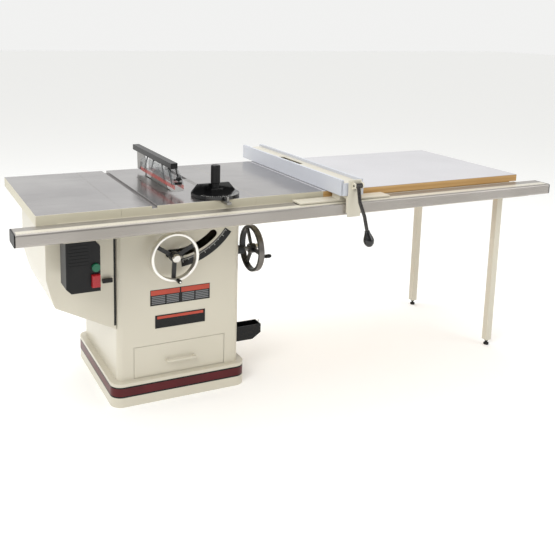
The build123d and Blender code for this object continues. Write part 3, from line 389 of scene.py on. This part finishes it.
def soften(node, material, radius):
    """Make a finished copy that stands for a CAD node, with edges rounded by radius millimetres."""
    shape = bmesh.new()
    shape.from_mesh(frame["nodes"][node].data)
    bmesh.ops.remove_doubles(shape, verts=shape.verts, dist=0.01 * MM)
    bmesh.ops.dissolve_limit(shape, angle_limit=radians(1), verts=shape.verts, edges=shape.edges)
    before = len(shape.faces)
    if radius:
        bmesh.ops.bevel(shape, geom=hard_edges(shape), offset=radius * MM, affect="EDGES",
                        segments=BEVEL_SEGMENTS, profile=0.5, material=-1, clamp_overlap=True)
    print(f"{node}: {before} faces, {len(shape.faces)} with its edges rounded")
    piece(node + "_finished", shape, material, node, replaces=True)


# %% [markdown]
# The list gives each node its finish, and the radius of its edges in millimetres. Castings and
# moulded caps have radii of a millimetre or more, and cut sheet and machined ends have less. The
# lever and its knob are round already, so they have no edge to round.

# %% Finishes of the CAD nodes
FINISHES = {
    "base_plinth": (CREAM, 2.0), "plinth_stripe": (STRIPE, 0), "cabinet_shell": (CREAM, 1.0),
    "dust_chute": (CREAM, 0.5), "dust_port": (BLACK_ABS, 1.0), "storage_drawer": (CREAM, 0.7),
    "drawer_handle": (CREAM, 0.8), "storage_bracket": (BLACK_ENAMEL, 0.8), "main_table": (MAIN_IRON, 1.2),
    "table_wings": (WING_IRON, 1.2), "table_insert": (BAR_STEEL, 0.4), "table_bolts": (ZINC, 0.8),
    "rail_angles": (CREAM, 1.0), "front_rail_tube": (TUBE_STEEL, 0.4), "rail_end_caps": (BLACK_ABS, 1.2),
    "extension_core": (EDGE_WOOD, 0.6), "extension_laminate": (WHITE_LAMINATE, 0.4),
    "extension_frame": (EDGE_WOOD, 1.5), "extension_legs": (CREAM, 2.5), "leg_feet": (RUBBER, 1.0),
    "switch_box": (BLACK_ABS, 1.2), "switch_bracket": (BLACK_ENAMEL, 0.8), "start_button": (GREEN_ABS, 1.5),
    "stop_button": (RED_ABS, 0.8), "motor_cover": (CREAM, 0.8), "cover_hinges": (CREAM, 0.8),
    "cover_latch": (BLACK_ABS, 1.5), "trunnion_brackets": (CASTING, 1.5), "tilt_bearings": (CASTING, 1.0),
    "tilt_cradle": (CASTING, 0.3), "arm_pivot_shaft": (TURNED_STEEL, 0.8), "splitter": (BAR_STEEL, 0.3),
    "arbor_arm": (CASTING, 0.6), "motor": (SLATE_ENAMEL, 0.4), "drive_belts": (RUBBER, 0.4),
    "arbor_shaft": (TURNED_STEEL, 0.4), "arbor_nut": (TURNED_STEEL, 0.8), "saw_blade": (BAR_STEEL, 0.2),
    "motor_pulley": (TURNED_STEEL, 0.4), "raise_handwheel": (FRONT_WHEEL, 1.0),
    "raise_crank": (BLACK_ABS, 0.5), "raise_lock_knob": (POLISHED, 0.8),
    "raise_worm_shaft": (TURNED_STEEL, 0.4),
    "tilt_handwheel": (SIDE_WHEEL, 1.0), "tilt_crank": (BLACK_ABS, 0.5), "tilt_lock_knob": (POLISHED, 0.8),
    "tilt_worm_shaft": (TURNED_STEEL, 0.4), "guard_top_bar": (BLACK_ENAMEL, 0.8),
    "guard_shields": (CLEAR, 0.4), "guard_struts": (BLACK_ABS, 0.4), "kickback_pawls": (BAR_STEEL, 0.3),
    "fence_beam": (CREAM, 0.8), "fence_faces": (FENCE_LAMINATE, 0.8), "fence_head": (CREAM, 1.2),
    "fence_lever": (DARK_STEEL, 0), "fence_lever_knob": (GLOSS_BLACK, 0), "mitre_bar": (BAR_STEEL, 0.5),
    "mitre_head": (GLOSS_BLACK, 1.2), "mitre_handle": (BLACK_ABS, 1.0), "front_plates": (BLACK_ENAMEL, 0.2),
}
for node, (material, radius) in FINISHES.items():
    soften(node, material, radius)

# %% [markdown]
# Paint, ink and tape have no thickness in the CAD model, but a dial without its marks looks unmade.
# They are made here as thin sheets, with the ink a tenth of a millimetre proud of its plate. The
# words of the labels are left out, so the labels carry a plain band and grey blocks instead.


# %% Thin sheets
def slab(shape, low, high, turn=None):
    """Add a box between two corners, in millimetres, to a bmesh."""
    middle = [(a + b) / 2 * MM for a, b in zip(low, high)]
    size = [(b - a) * MM for a, b in zip(low, high)]
    place = Matrix.Translation(middle) @ Matrix.Diagonal((*size, 1))
    bmesh.ops.create_cube(shape, size=1, matrix=turn @ place if turn else place)


def sheets(name, boxes, material, node):
    """Make one piece out of boxes, each given by its low and high corner."""
    shape = bmesh.new()
    for low, high in boxes:
        slab(shape, low, high)
    piece(name, shape, material, node)
    print(f"{name}: {len(boxes)} boxes")


INK = 0.1
CAUTION_FRONT, BADGE_FRONT = -263, -264
bands, columns = [(-123, -3), (3, 123)], [(-119, -64), (-58, -7), (7, 58), (64, 119)]
sheets("caution_plate_band", [((left, CAUTION_FRONT - INK, 433), (right, CAUTION_FRONT, 453))
                              for left, right in bands], PRINT_RED, "front_plates")
sheets("caution_plate_blocks", [((left, CAUTION_FRONT - INK, z), (right, CAUTION_FRONT, z + 4))
                                for left, right in columns for z in (397, 404, 411, 418, 425)],
       PRINT_GREY, "front_plates")
sheets("badge_stripe", [((-97, BADGE_FRONT - INK, 334), (97, BADGE_FRONT, 345))], PRINT_RED, "front_plates")

# %% [markdown]
# The tilt scale is read by a pointer that swings with the blade about a pivot at the table's top.
# So every mark lies on a line through that pivot, with a longer one at each fifth and tenth degree.

# %% Tilt scale
PIVOT_X, PIVOT_Z = -27, 835


def scale_marks():
    shape = bmesh.new()
    for degree in range(46):
        length = 14 if degree % 10 == 0 else 9 if degree % 5 == 0 else 5
        turn = (Matrix.Translation((PIVOT_X * MM, 0, PIVOT_Z * MM))
                @ Matrix.Rotation(radians(-7.5 - degree), 4, "Y"))
        slab(shape, (-0.7, -263.35, -270 - length), (0.7, -263.2, -270), turn)
    piece("tilt_scale_marks", shape, PRINT_WHITE, "front_plates")
    print("tilt scale: 46 marks")


scale_marks()

# %% [markdown]
# The rail carries a steel rule tape that the fence's pointer reads. Its cream enamel covers the
# rail's top, and its pale cream also stands in for the bright reflection that the polished top would
# show, so it is partly painted highlight. Its black marks run the length of the rail: short for each
# centimetre and long for every fifth.

# %% Rule tape on the rail, which also paints the top's highlight
rail_low, rail_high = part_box("front_rail_tube")
RAIL_TOP = rail_high.z / MM
rail_left, rail_right = rail_low.x / MM + 4, rail_high.x / MM - 4
# The tape is real, and its cream is also a painted highlight along the rail's top.
sheets("rule_tape_and_painted_highlight", [((rail_left, -531, RAIL_TOP), (rail_right, -497, RAIL_TOP + 0.3))],
       CREAM, "front_rail_tube")
marks = []
for step in range(1, int((rail_right - rail_left) / 10)):
    x, length = rail_left + step * 10, 14 if step % 5 == 0 else 8
    marks.append(((x - 0.4, -531, RAIL_TOP + 0.3), (x + 0.4, -531 + length, RAIL_TOP + 0.35)))
sheets("rule_tape_marks", marks, PRINT_BLACK, "front_rail_tube")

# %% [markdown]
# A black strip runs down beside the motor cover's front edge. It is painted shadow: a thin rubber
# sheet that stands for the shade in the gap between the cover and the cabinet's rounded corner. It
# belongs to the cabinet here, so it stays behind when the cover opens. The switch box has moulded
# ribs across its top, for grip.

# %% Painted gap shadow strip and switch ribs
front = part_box("motor_cover")[0].y / MM
# A dark sheet painted where there is only the shadow of the gap beside the cover.
sheets("cover_gap_painted_shadow_strip", [((-266, front - 0.6, 330), (-258, front, 778))], RUBBER, "cabinet_shell")
sheets("switch_ribs", [((-474, -431.2, z), (-404, -430, z + 3)) for z in range(642, 726, 12)],
       BLACK_ABS, "switch_box")

# %% [markdown]
# The mitre gauge's half-round base is engraved every five degrees, with longer marks at each 15.


# %% Mitre gauge marks
def mitre_marks():
    shape = bmesh.new()
    low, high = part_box("mitre_head")
    middle = Vector(((low.x + high.x) / 2, low.y + 92 * MM, 0))
    top = low.z / MM + 12
    for degree in range(-60, 61, 5):
        length = 12 if degree % 15 == 0 else 7
        turn = Matrix.Translation(middle) @ Matrix.Rotation(radians(degree), 4, "Z")
        slab(shape, (-0.5, -89, top), (0.5, -89 + length, top + 0.15), turn)
    piece("mitre_marks", shape, PRINT_WHITE, "mitre_head")
    print("mitre gauge: 25 marks")


mitre_marks()

# %% [markdown]
# The stage is a pale floor with soft light on it. A wide softbox hangs over the left shoulder, a
# weaker one fills from the right, and the sky is pale with a darker band low down behind the
# viewer, so that polished metal has something dark to reflect and looks like metal. The floor
# glows a little, as a backlit studio table does, which keeps it pale far behind the machine.


# %% Floor
def pale_floor():
    """A flat floor, 60 m wide."""
    shape = bmesh.new()
    bmesh.ops.create_grid(shape, x_segments=1, y_segments=1, size=30)
    mesh = bpy.data.meshes.new("floor")
    shape.to_mesh(mesh)
    shape.free()
    material = start_material("pale_studio_floor", Roughness=0.9, Base_Color=linear("#f6f6f4"),
                              Emission_Color=linear("#ffffff"), Emission_Strength=0.16)[0]
    mesh.materials.append(material)
    floor = bpy.data.objects.new("floor", mesh)
    bpy.context.scene.collection.objects.link(floor)


pale_floor()
print("floor: 60 m wide")

# %% [markdown]
# A softbox is a lamp behind a wide white cloth. The wider it is, the softer the edge of a shadow,
# and the broader the bright band that it draws along a polished tube.


# %% Lights
def softbox(name, at, target, width, height, power):
    """Area light at one point that faces another. Sizes are in metres and the power is in watts."""
    data = bpy.data.lights.new(name, "AREA")
    data.shape = "RECTANGLE"
    data.size, data.size_y, data.energy = width, height, power
    light = bpy.data.objects.new(name, data)
    aim = (Vector(target) - Vector(at)).to_track_quat("-Z", "Y").to_matrix().to_4x4()
    light.matrix_world = Matrix.Translation(at) @ aim
    bpy.context.scene.collection.objects.link(light)


softbox("key_softbox", (-2.6, -2.6, 3.4), (0.2, 0, 0.5), 2.4, 2.4, 118)
softbox("fill_softbox", (3.4, -3.0, 2.2), (0.4, 0, 0.5), 2.2, 2.2, 38)
softbox("top_softbox", (0.5, 1.2, 3.6), (0.4, 0.2, 0.8), 3.0, 2.0, 48)
print("lights: a key, a fill and a top softbox")

# %% [markdown]
# The rest of the light comes from white walls. Behind the viewer the wall is darker near the floor.


# %% Sky
def studio_sky():
    """Pale sky, darker low down behind the viewer."""
    world = bpy.data.worlds.new("studio")
    world.use_nodes = True
    tree = world.node_tree
    tree.nodes.clear()
    direction = add(tree, "ShaderNodeTexCoord").outputs["Generated"]
    split = add(tree, "ShaderNodeSeparateXYZ", {0: direction})
    behind = add(tree, "ShaderNodeMapRange", {"Value": split.outputs[1], "From Min": -0.9, "From Max": 0.1,
                                              "To Min": 0.3, "To Max": 0.9})
    low = add(tree, "ShaderNodeMapRange", {"Value": split.outputs[2], "From Min": 0.05, "From Max": 0.6,
                                           "To Min": 0.0, "To Max": 0.5})
    level = add(tree, "ShaderNodeMath", {0: behind.outputs[0], 1: low.outputs[0]}, operation="MAXIMUM")
    sky = add(tree, "ShaderNodeBackground", {"Color": linear("#fdfdfc"), "Strength": level.outputs[0]})
    add(tree, "ShaderNodeOutputWorld", {"Surface": sky.outputs[0]})
    bpy.context.scene.world = world


studio_sky()
bpy.context.scene.view_settings.view_transform = "Standard"
print("sky: pale, dimmed behind the viewer")
